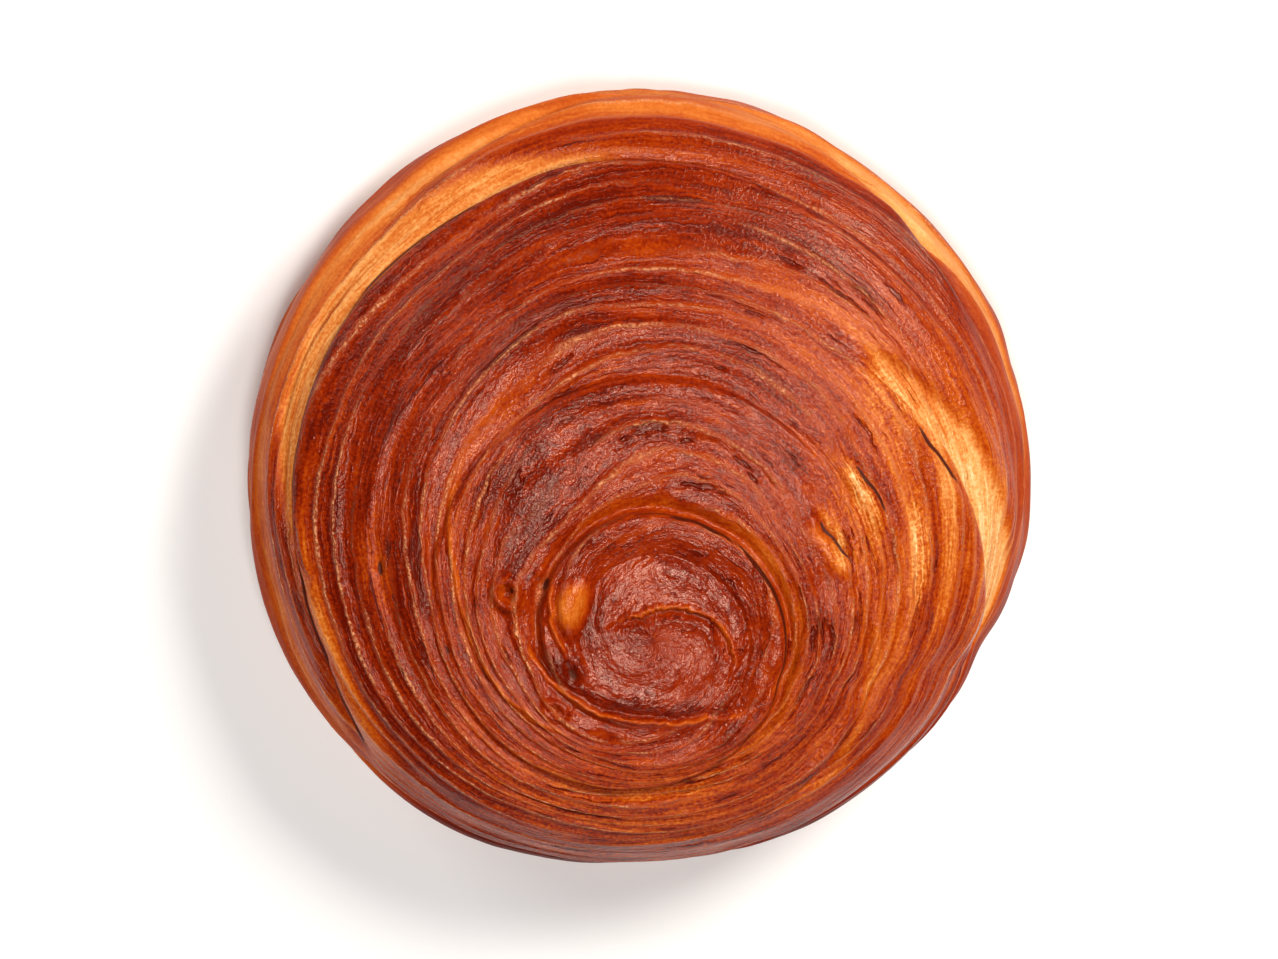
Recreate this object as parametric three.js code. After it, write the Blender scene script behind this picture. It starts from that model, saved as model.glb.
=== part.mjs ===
// Puff pastry bun: a strip of laminated dough coiled up flat, baked lying on one cut face with the
// other face up, and brushed with egg. The heart of the coil lies towards the front (-Y) and the
// wraps open clockwise. The crown runs down gently at the back and drops steeply at the front.
// Millimetres, +Z up, with the origin under the middle of the flat base.
import * as THREE from 'three';

// Driving dimensions
const ACROSS = 115; // at the widest
const HEIGHT = 36.5; // base to crown, without the relief
const BASE_ACROSS = 97; // the flat that it was baked on
const WIDEST_AT = 15; // height of the widest ring
const HEART = new THREE.Vector2(2.8, -21.5); // the coil's middle, seen from above

const RADIUS = ACROSS / 2;
const CROWN_FULLNESS = 3.4; // 2 is a plain dome, more is a flatter face with a quicker shoulder
const SHOULDER_ROUNDNESS = 1.9;
const TURN = 2 * Math.PI;

// How far out the edge of the strip lies, as a share of the radius, after so many turns from the heart
const COIL = { start: 0.107, pitch: 0.103, growth: 0.045, lean: 0.029, leanAt: -0.083 };
const COIL_TURNS = 4;
const COIL_STEPS = 400;

// Where the edge stands up (lip) over a crack (groove): mm, centred at a number of turns
const STANDING_EDGES = [
  { at: 0.8, spread: 0.24, lip: 1.3, groove: 0.7 }, // front of the raised cap
  { at: 1.4, spread: 0.34, lip: 0.8, groove: 2.2 }, // back and right of the cap, the deepest crack
  { at: 2.1, spread: 0.3, lip: 0.4, groove: 0.6 },
  { at: 2.6, spread: 0.16, lip: 0.6, groove: 0.9 },
  { at: 3.0, spread: 0.22, lip: 1.0, groove: 2.0 }, // left, inside the last wrap
  { at: 3.45, spread: 0.16, lip: 1.2, groove: 1.9 }, // right, where the last wrap ends
];
const FAINT_EDGE = 0.3; // mm of lip and of groove all along
const LIP_REACH = 4.5; // mm, inwards from the edge
const GROOVE_REACH = 2.2; // mm, outwards from the edge
const CAP_RISE = 1.1; // mm, the heart above the wraps
const CAP_SHARE = 0.42; // of the radius

// Broad ridges along the wraps, each a bundle of layers
const RIDGE_SPACING = 5.6; // mm
const RIDGES_PER_TURN = 2;
const RIDGE_HEIGHT = 0.4; // mm
const RIDGE_WANDER = 0.2; // of a ridge
const HEART_SHARE = 0.12; // of the radius, where they begin

// Overlapping layers on the side: each groove's height wanders as it goes round
const SIDE_GROOVES = [
  { height: 26, sway: 2.6, waves: 2, phase: 0.4, depth: 1.1 },
  { height: 19, sway: 3.0, waves: 3, phase: 2.1, depth: 1.4 },
  { height: 12, sway: 2.4, waves: 2, phase: 4.4, depth: 1.3 },
  { height: 6.5, sway: 1.5, waves: 3, phase: 5.2, depth: 0.9 },
];
const SIDE_GROOVE_REACH = 1.7; // mm
const SIDE_FROM = 0.93; // level at which the face begins to turn into the side
const FOOT_RISE = 5; // mm up from the base over which the grooves come in

// Facets
const STEPS_ROUND = 104;
const RINGS_ON_CROWN = 44;
const RINGS_ON_FOOT = 10;
const RING_INSIDE_EDGE = 0.2; // of a ring's spacing: how close the ring on the lip comes to the edge
const RING_OUTSIDE_EDGE = 0.6; // and the ring in the crack
const LAST_EDGE = 0.97; // level beyond which the rings no longer follow the edge

const CRUST = { color: 0x9a4018, roughness: 0.42, metalness: 0 };

/** Level of the coil's edge, 0 at the heart and 1 at the outline, as it would run after so many turns. */
function coilEdge(turns) {
  const lean = COIL.lean * turns * Math.cos(TURN * (turns - COIL.leanAt));
  return COIL.start + COIL.pitch * turns + COIL.growth * turns ** 2 + lean;
}

/** The coil's edge at even steps of a turn, kept from turning back in. */
const COIL_EDGES = Array.from({ length: COIL_STEPS + 1 }, (_, i) => coilEdge((COIL_TURNS * i) / COIL_STEPS));
COIL_EDGES.forEach((edge, i, edges) => {
  edges[i] = Math.max(edge, edges[i - 1] ?? 0);
});

/** Level of the coil's edge after a number of turns. */
function edgeAt(turns) {
  const step = THREE.MathUtils.clamp((turns / COIL_TURNS) * COIL_STEPS, 0, COIL_STEPS - 1);
  const before = Math.floor(step);
  return THREE.MathUtils.lerp(COIL_EDGES[before], COIL_EDGES[before + 1], step - before);
}

/** Turns after which the coil's edge has come out to a level. */
function turnsAt(level) {
  const next = COIL_EDGES.findIndex((edge) => edge > level);
  if (next === 0) {
    return 0;
  }
  const part = (level - COIL_EDGES[next - 1]) / (COIL_EDGES[next] - COIL_EDGES[next - 1]);
  return ((next - 1 + part) * COIL_TURNS) / COIL_STEPS;
}

/** How much of a size ("lip" or "groove") the edge has after a number of turns. */
function standsOut(turns, size) {
  const share = ({ at, spread }) => Math.exp(-(((turns - at) / spread) ** 2));
  return STANDING_EDGES.reduce((sum, edge) => sum + edge[size] * share(edge), FAINT_EDGE);
}

/** Relief of the coiled face in mm: lips, cracks and broad ridges, at a level and a share of a turn. */
function coilRelief(level, turn) {
  const turns = turnsAt(level);
  const inner = turn + Math.floor(turns - turn);
  const pastInner = (level - edgeAt(inner)) * RADIUS;
  const beforeOuter = (edgeAt(inner + 1) - level) * RADIUS;
  const lip = standsOut(inner + 1, 'lip') * Math.exp(-((beforeOuter / LIP_REACH) ** 2));
  const groove = inner < 0 ? 0 : standsOut(inner, 'groove') * Math.exp(-((pastInner / GROOVE_REACH) ** 2));
  const wander = RIDGE_WANDER * (Math.sin(TURN * turn + 7 * level) + Math.sin(2 * TURN * turn - 9 * level));
  const ridge = Math.sin(TURN * ((level * RADIUS) / RIDGE_SPACING - RIDGES_PER_TURN * turn + wander));
  const fromHeart = THREE.MathUtils.smoothstep(level, 0, HEART_SHARE);
  const cap = CAP_RISE * Math.exp(-((level / CAP_SHARE) ** 4));
  return cap + fromHeart * (lip - groove + RIDGE_HEIGHT * ridge);
}

/** Relief of the side in mm: grooves between overlapping layers, at a height and an angle. */
function sideRelief(height, angle) {
  return SIDE_GROOVES.reduce((sum, groove) => {
    const line = groove.height + groove.sway * Math.sin(groove.waves * angle + groove.phase);
    const strength = 0.6 + 0.4 * Math.sin(angle * (groove.waves + 1) - groove.phase);
    return sum - groove.depth * strength * Math.exp(-(((height - line) / SIDE_GROOVE_REACH) ** 2));
  }, 0);
}

/** The outline, nearly round, as a share of the radius. */
function outline(angle) {
  return 1 + 0.007 * Math.sin(2 * angle + 0.6) + 0.005 * Math.sin(3 * angle + 2.2) + 0.004 * Math.sin(5 * angle);
}

/** The smooth crown at a level: a superellipse from the heart to the widest ring, with its normal. */
function crownSpot(level) {
  const rise = Math.max(0, 1 - level ** CROWN_FULLNESS) ** (1 / SHOULDER_ROUNDNESS);
  const normal = new THREE.Vector2(
    (CROWN_FULLNESS * level ** (CROWN_FULLNESS - 1)) / RADIUS,
    (SHOULDER_ROUNDNESS * rise ** (SHOULDER_ROUNDNESS - 1)) / (HEIGHT - WIDEST_AT),
  ).normalize();
  return { level, out: RADIUS * level, height: WIDEST_AT + (HEIGHT - WIDEST_AT) * rise, normal };
}

/** The smooth foot, a quarter ellipse from the widest ring (0) to the edge of the base (1). */
function footSpot(share) {
  const tuckedIn = RADIUS - BASE_ACROSS / 2;
  const down = (share * Math.PI) / 2;
  const normal = new THREE.Vector2(Math.cos(down) / tuckedIn, -Math.sin(down) / WIDEST_AT).normalize();
  const out = RADIUS - tuckedIn * (1 - Math.cos(down));
  return { level: 1, out, height: WIDEST_AT * (1 - Math.sin(down)), normal };
}

/** The crown's profile as a curve, which spaces its rings evenly along the crust. */
class CrownProfile extends THREE.Curve {
  getPoint(share, point = new THREE.Vector2()) {
    const { out, height } = crownSpot(Math.sin((share * Math.PI) / 2));
    return point.set(out, height);
  }
}

/** Levels of the crown's rings at a share of a turn, two of them moved to each edge of the coil. */
function ringLevels(evenLevels, turn) {
  const levels = [...evenLevels];
  for (let edge = edgeAt(turn), wrap = turn; edge < LAST_EDGE; wrap += 1, edge = edgeAt(wrap)) {
    const outside = levels.findIndex((level) => level > edge);
    const spacing = levels[outside] - levels[outside - 1];
    levels[outside - 1] = edge - RING_INSIDE_EDGE * spacing;
    levels[outside] = edge + RING_OUTSIDE_EDGE * spacing;
  }
  return levels;
}

/** A point of the crust: the smooth spot moved along its normal by the relief there. */
function crustPoint({ level, out, height, normal }, turn) {
  const angle = Math.PI - TURN * turn;
  const side = THREE.MathUtils.smoothstep(level, SIDE_FROM, 1);
  const foot = THREE.MathUtils.smoothstep(height, 0, FOOT_RISE);
  const relief = (1 - side) * coilRelief(level, turn) + side * foot * sideRelief(height, angle);
  const reach = out * outline(angle) + normal.x * relief;
  const shift = 1 - level ** 2;
  return new THREE.Vector3(
    HEART.x * shift + reach * Math.cos(angle),
    HEART.y * shift + reach * Math.sin(angle),
    height + normal.y * relief,
  );
}

/** One column of points from the crown's first ring to the edge of the base, at a share of a turn. */
function crustColumn(evenLevels, turn) {
  const crown = ringLevels(evenLevels, turn).map(crownSpot);
  const foot = Array.from({ length: RINGS_ON_FOOT }, (_, i) => footSpot((i + 1) / RINGS_ON_FOOT));
  return [...crown, ...foot].map((spot) => crustPoint(spot, turn));
}

/** The whole crust as one closed surface: columns between a pole on the crown and one under the base. */
function bunGeometry() {
  const evenLevels = new CrownProfile()
    .getSpacedPoints(RINGS_ON_CROWN)
    .slice(1)
    .map((point) => Math.min(1, point.x / RADIUS));
  const rings = RINGS_ON_CROWN + RINGS_ON_FOOT;

  const points = [crustPoint(crownSpot(0), 0)];
  for (let step = 0; step < STEPS_ROUND; step += 1) {
    points.push(...crustColumn(evenLevels, step / STEPS_ROUND));
  }
  points.push(new THREE.Vector3(0, 0, 0));

  const at = (ring, step) => 1 + (step % STEPS_ROUND) * rings + ring;
  const faces = [];
  for (let step = 0; step < STEPS_ROUND; step += 1) {
    faces.push(0, at(0, step + 1), at(0, step));
    for (let ring = 0; ring < rings - 1; ring += 1) {
      faces.push(at(ring, step), at(ring, step + 1), at(ring + 1, step + 1));
      faces.push(at(ring, step), at(ring + 1, step + 1), at(ring + 1, step));
    }
    faces.push(points.length - 1, at(rings - 1, step), at(rings - 1, step + 1));
  }

  const geometry = new THREE.BufferGeometry().setFromPoints(points);
  geometry.setIndex(faces);
  geometry.computeBoundingBox();
  const { min, max } = geometry.boundingBox;
  geometry.translate(-(min.x + max.x) / 2, -(min.y + max.y) / 2, -min.z);
  geometry.computeVertexNormals();
  return geometry;
}

const bun = new THREE.Mesh(bunGeometry(), new THREE.MeshStandardMaterial(CRUST));
bun.name = 'bun';

const part = new THREE.Group();
part.add(bun);

export default part;
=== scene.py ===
"""Puff pastry bun: one coil of laminated dough, egg washed and baked lying flat.

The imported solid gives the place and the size. One surface worked out with numpy stands for it, with
the lips and cracks of the coil, the edges of its layers, blisters and the folds of its side. It also
carries what the crust's material reads, such as how far each spot is baked.
"""

import logging
import math
from dataclasses import dataclass
from enum import Enum

import bpy
import numpy as np
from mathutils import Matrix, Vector


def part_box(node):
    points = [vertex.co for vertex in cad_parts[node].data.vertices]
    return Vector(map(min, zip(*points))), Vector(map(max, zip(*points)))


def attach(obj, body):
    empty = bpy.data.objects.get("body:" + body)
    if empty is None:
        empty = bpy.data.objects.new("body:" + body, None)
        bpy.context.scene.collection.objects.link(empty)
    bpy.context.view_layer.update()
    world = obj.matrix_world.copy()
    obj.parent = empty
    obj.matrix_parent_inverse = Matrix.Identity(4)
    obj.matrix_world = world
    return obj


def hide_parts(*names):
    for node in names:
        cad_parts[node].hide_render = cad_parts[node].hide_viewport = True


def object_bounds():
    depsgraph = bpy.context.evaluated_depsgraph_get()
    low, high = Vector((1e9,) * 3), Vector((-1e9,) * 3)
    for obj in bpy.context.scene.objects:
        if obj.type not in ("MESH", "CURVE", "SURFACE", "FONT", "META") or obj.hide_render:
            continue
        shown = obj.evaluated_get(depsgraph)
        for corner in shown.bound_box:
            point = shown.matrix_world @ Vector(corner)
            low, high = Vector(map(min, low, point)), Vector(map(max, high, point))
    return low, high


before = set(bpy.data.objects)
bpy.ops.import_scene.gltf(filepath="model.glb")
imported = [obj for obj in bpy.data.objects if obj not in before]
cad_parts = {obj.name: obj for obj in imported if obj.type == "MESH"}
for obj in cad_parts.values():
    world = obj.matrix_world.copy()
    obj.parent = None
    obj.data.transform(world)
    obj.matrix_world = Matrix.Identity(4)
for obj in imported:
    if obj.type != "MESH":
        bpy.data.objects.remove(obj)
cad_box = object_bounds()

MM = 0.001
TURN = 2.0 * math.pi
PHOTO_WIDTH = 1278
PHOTO_HEIGHT = 959

# The layers' map: turns along U, and along V the count of layers outwards, as a share of the map.
LAYER_MAP = "layers"
LAYERS_IN_MAP = 128.0
LAYERS_PER_TURN = 10.0
LAYERS_PER_EDGE = 2.0
LAYER_MM = 1.2
EDGE_MM = LAYERS_PER_EDGE * LAYER_MM
# From this share of a turn on, coiled noise fades into its reading of one turn before.
SEAM_FROM = 0.8

log = logging.getLogger("bun")


def smoothstep(low: float, high: float, value: np.ndarray) -> np.ndarray:
    """The share t of the way from low to high, eased at both ends: 3t^2 - 2t^3."""
    t = np.clip((value - low) / (high - low), 0.0, 1.0)
    return t * t * (3.0 - 2.0 * t)


def bell(value: np.ndarray, centre: np.ndarray | float, reach: np.ndarray | float) -> np.ndarray:
    """A bump of height 1 at centre that has fallen to 1/e one reach away: exp(-((x - c) / r)^2)."""
    return np.exp(-(((value - centre) / reach) ** 2))


def tent(distance: np.ndarray, reach: float) -> np.ndarray:
    """A peak of 1 where the distance is 0 that falls in a straight line to 0 one reach away."""
    return np.clip(1.0 - np.abs(distance) / reach, 0.0, 1.0)


def linear(srgb_hex: str) -> tuple[float, float, float, float]:
    """The linear colour of an sRGB hex value, with full alpha.

    Args:
        srgb_hex: six hex digits, such as "a0522d".

    Returns:
        Red, green, blue and alpha, linear, from 0 to 1.
    """
    channels = [int(srgb_hex[i:i + 2], 16) / 255.0 for i in (0, 2, 4)]
    red, green, blue = (c / 12.92 if c <= 0.04045 else ((c + 0.055) / 1.055) ** 2.4 for c in channels)
    return red, green, blue, 1.0


def add_node(tree: bpy.types.NodeTree, kind: str, inputs: dict[str | int, object] | None = None,
             **settings: object) -> bpy.types.Node:
    """Adds a shader node with its settings, and sets or links its inputs.

    Args:
        tree: node tree that takes the node.
        kind: Blender's name for the type of node, without its start "ShaderNode".
        inputs: input name or number to a value, or to a node whose first output is linked to it.
        **settings: the node's own properties.

    Returns:
        The new node.
    """
    node = tree.nodes.new("ShaderNode" + kind)
    for name, value in settings.items():
        setattr(node, name, value)
    for name, value in (inputs or {}).items():
        if isinstance(value, bpy.types.Node):
            value = value.outputs[0]
        if isinstance(value, bpy.types.NodeSocket):
            tree.links.new(value, node.inputs[name])
        else:
            node.inputs[name].default_value = value
    return node


class Wander:
    """Smooth seeded noise: random values on a closed lattice, blended between neighbours."""

    def __init__(self, seed: int, along: int = 61, across: int = 89) -> None:
        """Draws the lattice from a seed, with the cells after which the noise repeats on each axis."""
        self.values = np.random.default_rng(seed).uniform(-1.0, 1.0, (along, across))

    def at(self, x: np.ndarray, y: np.ndarray) -> np.ndarray:
        """The noise at places given in cells: a blend of the four corners, eased with 3t^2 - 2t^3.

        Args:
            x: places along the first axis, in cells.
            y: places along the second axis, in cells.

        Returns:
            Values from -1 to 1.
        """
        x, y = np.broadcast_arrays(x, y)
        left = np.floor(x)
        low = np.floor(y)
        across = smoothstep(0.0, 1.0, x - left)
        up = smoothstep(0.0, 1.0, y - low)
        cols, rows = self.values.shape
        i = left.astype(int) % cols
        j = low.astype(int) % rows
        next_i = (i + 1) % cols
        next_j = (j + 1) % rows
        bottom = self.values[i, j] * (1.0 - across) + self.values[next_i, j] * across
        top = self.values[i, next_j] * (1.0 - across) + self.values[next_i, next_j] * across
        return bottom * (1.0 - up) + top * up


@dataclass(frozen=True)
class CrustNoise:
    """Round noise over the crust: its seed, cells in a turn, cells outwards, their size in mm, strength."""

    seed: int
    along: int
    across: int
    size: float
    strength: float = 1.0

    def at(self, turn: np.ndarray, travel: np.ndarray) -> np.ndarray:
        """The noise, times its strength, at shares of a turn and at mm outwards along the crust."""
        wander = Wander(self.seed, self.along, self.across)
        return self.strength * wander.at(self.along * turn, travel / self.size)


@dataclass(frozen=True)
class LayerNoise:
    """Noise drawn out along the layers of a coil: its seed, cells in a turn, layers in a cell, strength."""

    seed: int
    along: float
    across: float
    strength: float = 1.0

    def at(self, turn: np.ndarray, layer: np.ndarray) -> np.ndarray:
        """The noise, times its strength, closed over the coil's seam.

        Close to the end of the turn it fades into the reading of one turn before, where the count of
        layers was higher by LAYERS_PER_TURN.

        Args:
            turn: share of a turn, 0 to 1.
            layer: layers counted outwards.

        Returns:
            Values from -strength to strength.
        """
        wander = Wander(self.seed)
        here = wander.at(turn * self.along, layer / self.across)
        before = wander.at((turn - 1.0) * self.along, (layer + LAYERS_PER_TURN) / self.across)
        fade = smoothstep(SEAM_FROM, 1.0, turn)
        return self.strength * (here * (1.0 - fade) + before * fade)


@dataclass(frozen=True)
class StandingEdge:
    """A stretch of the edge over a crack: its place and spread in turns, its lip and groove in mm."""

    at: float
    spread: float
    lip: float
    groove: float


@dataclass(frozen=True)
class Coil:
    """The line of the strip's edge, as a share of the radius that grows with the turns.

    The edge lies at start + pitch * n + growth * n^2 after n turns, plus a lean of the whole coil to
    one side, lean * n * cos(n - lean_at), and it never turns back in.
    """

    start: float = 0.107
    pitch: float = 0.103
    growth: float = 0.045
    lean: float = 0.029
    lean_at: float = -0.083
    turns: float = 4.0
    steps: int = 1600
    edges: tuple[StandingEdge, ...] = (
        StandingEdge(at=1.0, spread=0.16, lip=0.7, groove=0.5),
        StandingEdge(at=1.2, spread=0.16, lip=0.8, groove=0.6),
        StandingEdge(at=1.47, spread=0.2, lip=1.1, groove=1.3),
        StandingEdge(at=1.75, spread=0.1, lip=0.5, groove=0.9),
        StandingEdge(at=2.2, spread=0.2, lip=0.5, groove=0.5),
        StandingEdge(at=2.6, spread=0.12, lip=0.4, groove=0.6),
        StandingEdge(at=3.25, spread=0.12, lip=0.7, groove=1.2),
    )

    def table(self) -> tuple[np.ndarray, np.ndarray]:
        """Works out the edge's line in even steps.

        Returns:
            Turns from the heart, and the edge's level at each.
        """
        turns = np.linspace(0.0, self.turns, self.steps)
        lean = self.lean * turns * np.cos(TURN * (turns - self.lean_at))
        level = self.start + self.pitch * turns + self.growth * turns ** 2 + lean
        return turns, np.maximum.accumulate(level)

    def edge(self, turns: np.ndarray) -> np.ndarray:
        """Level of the edge after a number of turns."""
        return np.interp(turns, *self.table())

    def turns_at(self, level: np.ndarray) -> np.ndarray:
        """Turns after which the edge has come out to a level."""
        turns, levels = self.table()
        return np.interp(level, levels, turns)

    def lip(self, turns: np.ndarray) -> np.ndarray:
        """Height of the lip in mm after a number of turns: a bell for each standing stretch."""
        return sum(edge.lip * bell(turns, edge.at, edge.spread) for edge in self.edges)

    def groove(self, turns: np.ndarray) -> np.ndarray:
        """Depth of the groove in mm after a number of turns: a bell for each standing stretch."""
        return sum(edge.groove * bell(turns, edge.at, edge.spread) for edge in self.edges)


@dataclass(frozen=True)
class Profile:
    """The smooth shape of the bun: its section, of crown, foot and base in mm, and its outline.

    A wave of the outline is its count, its share of the radius and its phase. The notch, where the strip
    ends, is its turn, its spread and its share of the radius.
    """

    across: float = 115.0
    height: float = 36.5
    base_across: float = 97.0
    widest_at: float = 15.0
    fullness: float = 3.4
    roundness: float = 1.9
    waves: tuple[tuple[float, float, float], ...] = ((2.0, 0.007, 0.6), (3.0, 0.005, 2.2), (5.0, 0.004, 0.0))
    notch: tuple[float, float, float] = (0.572, 0.014, 0.016)

    @property
    def radius(self) -> float:
        """Half of the width."""
        return self.across / 2.0

    def outline(self, turn: np.ndarray) -> np.ndarray:
        """The outline's distance out over the radius: 1, plus its waves, less the notch's bell.

        Args:
            turn: share of a turn.

        Returns:
            Numbers close to 1.
        """
        angle = math.pi - TURN * turn
        at, spread, depth = self.notch
        waves = sum(share * np.sin(count * angle + phase) for count, share, phase in self.waves)
        return 1.0 + waves - depth * bell(turn, at, spread)

    def crown(self, level: np.ndarray) -> dict[str, np.ndarray]:
        """The crown at a level m: a superellipse that falls from the heart to the widest ring.

        Over the widest ring it stands (1 - m^fullness)^(1/roundness) of its height at the heart.

        Args:
            level: share of the radius, 0 at the heart and 1 at the widest ring.

        Returns:
            Level, distance out and height in mm, and the outward and upward parts of the normal.
        """
        rise = np.clip(1.0 - level ** self.fullness, 0.0, None) ** (1.0 / self.roundness)
        tall = self.height - self.widest_at
        outward = self.fullness * level ** (self.fullness - 1.0) / self.radius
        upward = self.roundness * rise ** (self.roundness - 1.0) / tall
        length = np.hypot(outward, upward)
        return {"level": level, "out": self.radius * level, "height": self.widest_at + tall * rise,
                "outward": outward / length, "upward": upward / length}

    def foot(self, share: np.ndarray) -> dict[str, np.ndarray]:
        """The foot: a quarter ellipse from the widest ring down and in to the edge of the base.

        Args:
            share: 0 at the widest ring, 1 at the edge of the base.

        Returns:
            The same five rows of numbers as the crown.
        """
        tucked = self.radius - self.base_across / 2.0
        down = share * math.pi / 2.0
        outward = np.cos(down) / tucked
        upward = -np.sin(down) / self.widest_at
        length = np.hypot(outward, upward)
        return {"level": np.ones_like(share), "out": self.radius - tucked * (1.0 - np.cos(down)),
                "height": self.widest_at * (1.0 - np.sin(down)),
                "outward": outward / length, "upward": upward / length}

    def base(self, share: np.ndarray) -> dict[str, np.ndarray]:
        """The flat base, from its edge (0) to its middle (1), as the same five rows of numbers."""
        flat = np.zeros_like(share)
        return {"level": flat + 1.0, "out": self.base_across / 2.0 * (1.0 - share),
                "height": flat, "outward": flat, "upward": flat - 1.0}

    def rings(self, on_crown: int, on_foot: int, on_base: int) -> dict[str, np.ndarray]:
        """The rings from the heart to the middle of the base, evenly spaced along the crust.

        Args:
            on_crown: rings from the heart to the widest ring, which is the last of them.
            on_foot: rings down to the edge of the base.
            on_base: rings under the base, the last of them close to its middle.

        Returns:
            Five rows of numbers as for the crown, and "travel", the way along the crust in mm.
        """
        fine = self.crown(np.sin(np.linspace(0.0, 1.0, 4000) * math.pi / 2.0))
        way = np.concatenate([[0.0], np.cumsum(np.hypot(np.diff(fine["out"]), np.diff(fine["height"])))])
        even = np.interp(np.linspace(0.0, way[-1], on_crown + 1)[1:], way, fine["level"])
        parts = [self.crown(np.minimum(even, 1.0)),
                 self.foot(np.arange(1, on_foot + 1) / on_foot),
                 self.base(np.arange(1, on_base + 1) / (on_base + 1.0))]
        rows = {name: np.concatenate([part[name] for part in parts])[:, None] for name in parts[0]}
        steps = np.hypot(np.diff(rows["out"], axis=0, prepend=0.0),
                         np.diff(rows["height"], axis=0, prepend=self.height))
        return rows | {"travel": np.cumsum(steps, axis=0)}


class CrustGrid:
    """Where each point of the crust lies: rings down the rows, shares of a turn along the columns.

    A ring at level m is a circle of radius m times the bun's, and its middle slides from the heart of
    the coil to the middle of the bun as 1 - m^2. Drift, in mm, and weave, in layers, are what makes the
    layers' spacing uneven. Back shift is how far the middle rings move back, as a share of the radius.
    """

    drift: tuple[CrustNoise, ...] = (CrustNoise(11, 5, 9, 16.0, strength=1.5),
                                     CrustNoise(12, 14, 23, 5.0, strength=0.4))
    weave: tuple[LayerNoise, ...] = (LayerNoise(35, 7.0, 4.0, strength=1.1),
                                     LayerNoise(36, 17.0, 2.3, strength=0.4))
    back_shift: float = 0.07

    def __init__(self, profile: Profile, coil: Coil, heart: tuple[float, float], columns: int,
                 rings: tuple[int, int, int]) -> None:
        """Works out the grid.

        Args:
            profile: shape of the bun.
            coil: line of the strip's edge.
            heart: middle of the coil, in mm from the middle of the bun.
            columns: points on each ring.
            rings: rings on the crown, on the foot and under the base.
        """
        rows = profile.rings(*rings)
        self.turn = np.arange(columns + 1)[None, :] / columns
        self.angle = math.pi - TURN * self.turn
        self.level, self.out, self.height, self.outward, self.upward, self.travel = (
            row + 0.0 * self.turn for row in rows.values())
        self.radius = profile.radius
        self.foot_from = rows["travel"][rings[0] - 1, 0]
        self.heart = heart
        self.outline = profile.outline(self.turn)
        # The mm that a ring lies further out for each unit of level: fewer on the heart's side.
        toward = heart[0] * np.cos(self.angle) + heart[1] * np.sin(self.angle)
        self.scale = self.radius - 2.0 * self.level * toward
        self.under = self.height <= 0.0

        # The coil's edges just inside and outside each point, and the way past the nearer one.
        turns = coil.turns_at(self.level)
        inner = self.turn + np.floor(turns - self.turn + 1e-9)
        past = (self.level - coil.edge(inner)) * self.scale
        before = (coil.edge(inner + 1.0) - self.level) * self.scale
        self.edge_turns = np.where(past < before, inner, inner + 1.0)
        self.past_edge = np.where(past < before, past, -before)
        self.layer = self.count_layers()

    def count_layers(self) -> np.ndarray:
        """Layers counted outwards from the heart, in a closed coil.

        The way along the crust over the layers' spacing, less the layers that one turn gains. The
        middle rings shift towards the back, and the drift and the weave make the count uneven.

        Returns:
            The count at each point, which loses LAYERS_PER_TURN in a turn.
        """
        middle = smoothstep(0.3, 0.6, self.level) * (1.0 - smoothstep(0.6, 1.0, self.level))
        shift = self.back_shift * self.radius * middle * np.cos(TURN * (self.turn - 0.25))
        calm = smoothstep(0.0, 12.0, self.travel)
        way = self.travel - shift + calm * sum(noise.at(self.turn, self.travel) for noise in self.drift)
        layer = way / LAYER_MM - LAYERS_PER_TURN * self.turn
        return layer + calm * sum(noise.at(self.turn, layer) for noise in self.weave)

    def along(self, first: float, last: float) -> np.ndarray:
        """Share of the way from one turn to another, outside 0 to 1 elsewhere; first may be below 0."""
        return ((self.turn - first) % 1.0) / (last - first)

    def spot_distance(self, turn: float, level: float, along: float, across: float) -> np.ndarray:
        """Distance from a spot in its own half lengths: 1 on the ellipse with those half axes in mm."""
        round_mm = self.level * self.radius * TURN * ((self.turn - turn + 0.5) % 1.0 - 0.5)
        return np.hypot(round_mm / along, (self.level - level) * self.scale / across)

    def places(self, relief: np.ndarray) -> np.ndarray:
        """Each point's place in mm: on its ring, moved along the normal by the relief.

        Args:
            relief: mm at each point.

        Returns:
            Rows, columns and the three coordinates.
        """
        slide = np.where(self.level < 1.0, 1.0 - self.level ** 2, 0.0)
        reach = self.out * self.outline + self.outward * relief
        return np.stack([self.heart[0] * slide + reach * np.cos(self.angle),
                         self.heart[1] * slide + reach * np.sin(self.angle),
                         self.height + self.upward * relief], axis=-1)


@dataclass
class Crust:
    """What the crust is like at each point of the grid; the marks below change it in place.

    Relief is in mm. Bake runs from 0, pale dough, to 1, nearly burnt; crack, the painted shade in cracks
    and slits, and glaze run from 0 to 1.
    Streaks and edges say how strongly fine streaks and the layers' edges show, where 1 is usual.
    """

    relief: np.ndarray
    bake: np.ndarray
    crack: np.ndarray
    glaze: np.ndarray
    streaks: np.ndarray
    edges: np.ndarray


class Look(Enum):
    """What a mark does to the crust."""

    BLISTER = "a raised bubble"
    CRATER = "a ring round a fallen bubble"
    # A slit's dark is painted shade in its opening.
    SLIT = "a small dark opening"
    PATCH = "an area baked more or less"


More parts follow.
